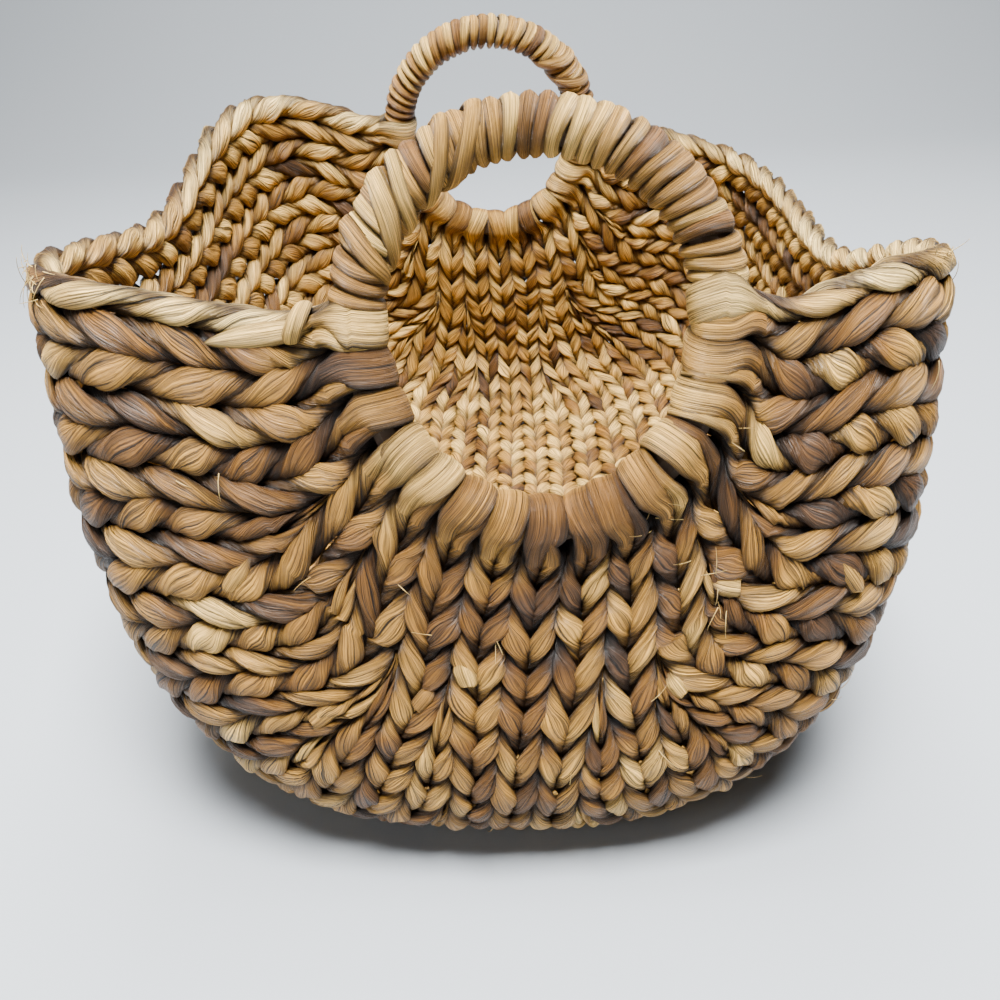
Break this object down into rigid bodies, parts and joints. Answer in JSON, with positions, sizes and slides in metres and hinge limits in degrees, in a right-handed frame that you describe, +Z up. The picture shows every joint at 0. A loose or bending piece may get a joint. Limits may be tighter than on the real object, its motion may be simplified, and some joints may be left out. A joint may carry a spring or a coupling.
{
  "type": "twined water hyacinth basket",
  "caption": "Half-moon carrier basket of twined water hyacinth rows between a front and a back hoop, whose bound tops are the handles.",
  "frame": {"origin": "under the middle of the basket, on the plane that it stands on", "axes": "+Z up; -Y towards the front hoop, the one nearest the viewer in the picture; +X to the right seen from the front; the rows run along Y"},
  "size_m": [0.387, 0.4956, 0.333],
  "materials": {
    "hyacinth": "dry twined water hyacinth strand, straw to tan, satin",
    "pale_strand": "paler straw strand of the rims, satin",
    "binding": "flat hyacinth strand wound tight, satin",
    "cane": "bare cane under the weave"
  },
  "bodies": {
    "root": {"front_hoop": "cane", "front_handle_binding": "binding", "back_hoop": "cane", "back_handle_binding": "binding", "left_rim": "pale_strand", "row_01": "hyacinth", "row_02": "hyacinth", "row_03": "hyacinth", "row_04": "hyacinth", "row_05": "hyacinth", "row_06": "hyacinth", "row_07": "hyacinth", "row_08": "hyacinth", "row_09": "hyacinth", "row_10": "hyacinth", "row_11": "hyacinth", "row_12": "hyacinth", "row_13": "hyacinth", "row_14": "hyacinth", "row_15": "hyacinth", "row_16": "hyacinth", "row_17": "hyacinth", "row_18": "hyacinth", "row_19": "hyacinth", "row_20": "hyacinth", "row_21": "hyacinth", "row_22": "hyacinth", "row_23": "hyacinth", "row_24": "hyacinth", "row_25": "hyacinth", "row_26": "hyacinth", "row_27": "hyacinth", "right_rim": "pale_strand", "front_stake": "cane", "back_stake": "cane"}
  },
  "joints": []
}
